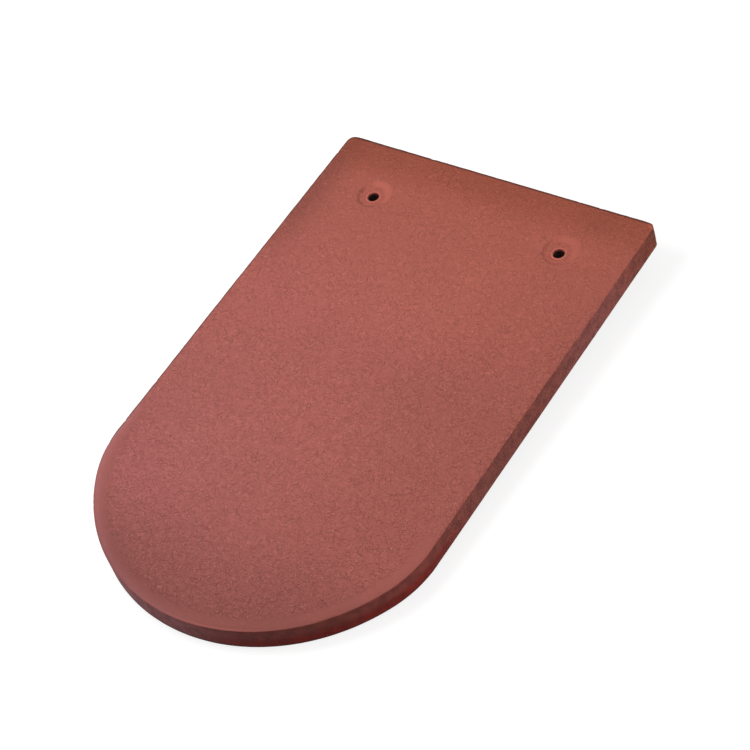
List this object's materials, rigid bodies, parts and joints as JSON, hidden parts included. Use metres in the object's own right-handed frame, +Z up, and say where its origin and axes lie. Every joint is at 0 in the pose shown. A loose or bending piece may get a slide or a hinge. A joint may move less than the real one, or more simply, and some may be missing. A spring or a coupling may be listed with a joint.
{
  "type": "clay roof tile",
  "caption": "Flat clay roof tile with a round nose, dished nail holes near its square head and small hanging nibs underneath.",
  "frame": {"origin": "on the floor, under the middle of the box around the tile as it lies at rest", "axes": "+X to the right across the tile, +Y towards the head, +Z up from the floor. At rest the face leans 2.3 degrees, because the tile lies on its nibs and the tip of its nose"},
  "size_m": [0.17, 0.2702, 0.0226],
  "materials": {
    "fired_clay": "matt, fine sandy grain"
  },
  "bodies": {
    "root": {"roof_tile": "fired_clay"}
  },
  "joints": []
}
